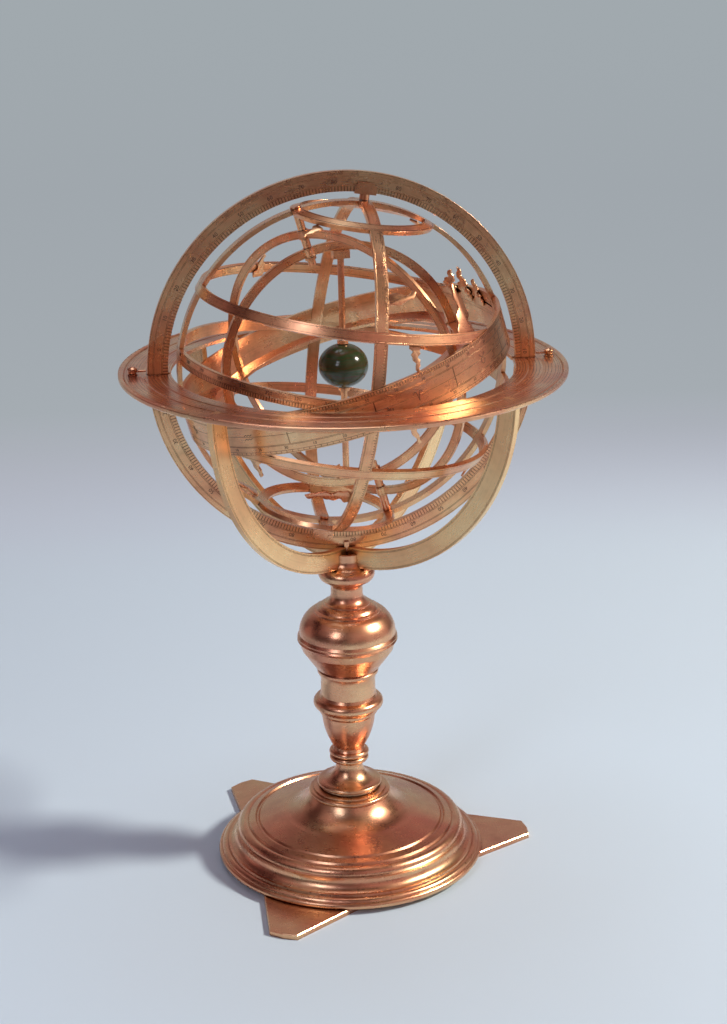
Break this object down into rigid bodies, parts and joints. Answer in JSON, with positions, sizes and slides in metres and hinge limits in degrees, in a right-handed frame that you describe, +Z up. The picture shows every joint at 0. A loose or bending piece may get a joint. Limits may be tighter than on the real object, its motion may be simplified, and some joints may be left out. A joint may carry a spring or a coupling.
{
  "type": "armillary sphere",
  "caption": "Table armillary sphere: a turned brass pillar carries a horizon ring, a sliding meridian ring, a turning cage of sky circles with a zodiac band, and an earth ball on an inner axis.",
  "frame": {"origin": "on the floor, on the axis of the pillar", "axes": "+Z up; X along the plane of the meridian ring, with the north pole leaning towards +X; the front faces -Y"},
  "size_m": [0.2384, 0.2384, 0.3917],
  "materials": {
    "gilt_brass": "aged gilding, softly brushed",
    "turned_brass": "turned and polished, darker in the grooves",
    "pale_brass": "worn, pale yellow",
    "fitting_brass": "filed and worn",
    "steel": "dull",
    "stone": "polished banded stone"
  },
  "bodies": {
    "stand": {"base_dish": "turned_brass", "toe_right": "turned_brass", "toe_back": "turned_brass", "toe_front": "turned_brass", "toe_screws": "steel", "pillar_foot": "turned_brass", "pillar_vase": "turned_brass", "pillar_bulb": "turned_brass", "pillar_cup": "turned_brass", "tie_rod": "steel", "tie_washer": "steel", "tie_nut": "steel", "cradle_arc_upper": "gilt_brass", "cradle_arc_lower": "gilt_brass", "meridian_fork": "gilt_brass", "horizon_ring": "gilt_brass", "lock_knob_left": "gilt_brass", "lock_knob_right": "gilt_brass"},
    "meridian": {"meridian_ring": "gilt_brass", "pole_clip_north": "gilt_brass", "pole_clip_south": "gilt_brass", "clip_rivets": "fitting_brass"},
    "cage": {"colure_equinox": "gilt_brass", "colure_solstice": "gilt_brass", "equator_ring": "gilt_brass", "tropic_cancer": "gilt_brass", "tropic_capricorn": "gilt_brass", "arctic_circle": "gilt_brass", "antarctic_circle": "gilt_brass", "zodiac_band": "gilt_brass", "pole_pin_north": "fitting_brass", "pole_pin_south": "fitting_brass", "ecliptic_pin_north": "fitting_brass", "ecliptic_pin_south": "fitting_brass", "ecliptic_collars": "fitting_brass", "star_pointers_north": "pale_brass", "star_pointers_middle": "pale_brass", "star_pointers_south": "pale_brass"},
    "latitude": {"latitude_circle": "pale_brass"},
    "earth": {"earth_circle": "pale_brass", "sun_circle": "pale_brass", "sun_disc": "fitting_brass", "earth_rod": "fitting_brass", "rod_blocks": "fitting_brass", "earth_ball": "stone", "earth_collars": "fitting_brass"},
    "lock_left": {"lock_finger_left": "gilt_brass"},
    "lock_right": {"lock_finger_right": "gilt_brass"}
  },
  "joints": [
    {"name": "meridian_slide", "type": "hinge", "parent": "stand", "child": "meridian", "pos_m": [0, 0, 0.288], "axis": [0, 1, 0], "range_deg": [-88, 75]},
    {"name": "cage_turn", "type": "hinge", "parent": "meridian", "child": "cage", "pos_m": [0, 0, 0.288], "axis": [0.1357, 0, 0.9907], "continuous": true},
    {"name": "latitude_turn", "type": "hinge", "parent": "cage", "child": "latitude", "pos_m": [0, 0, 0.288], "axis": [-0.2701, -0.0209, 0.9626], "continuous": true},
    {"name": "earth_turn", "type": "hinge", "parent": "cage", "child": "earth", "pos_m": [0, 0, 0.288], "axis": [-0.2701, -0.0209, 0.9626], "continuous": true},
    {"name": "lock_left_turn", "type": "hinge", "parent": "stand", "child": "lock_left", "pos_m": [-0.1115, 0, 0.28995], "axis": [0, 0, 1], "range_deg": [-90, 90]},
    {"name": "lock_right_turn", "type": "hinge", "parent": "stand", "child": "lock_right", "pos_m": [0.1115, 0, 0.28995], "axis": [0, 0, 1], "range_deg": [-90, 90]}
  ]
}
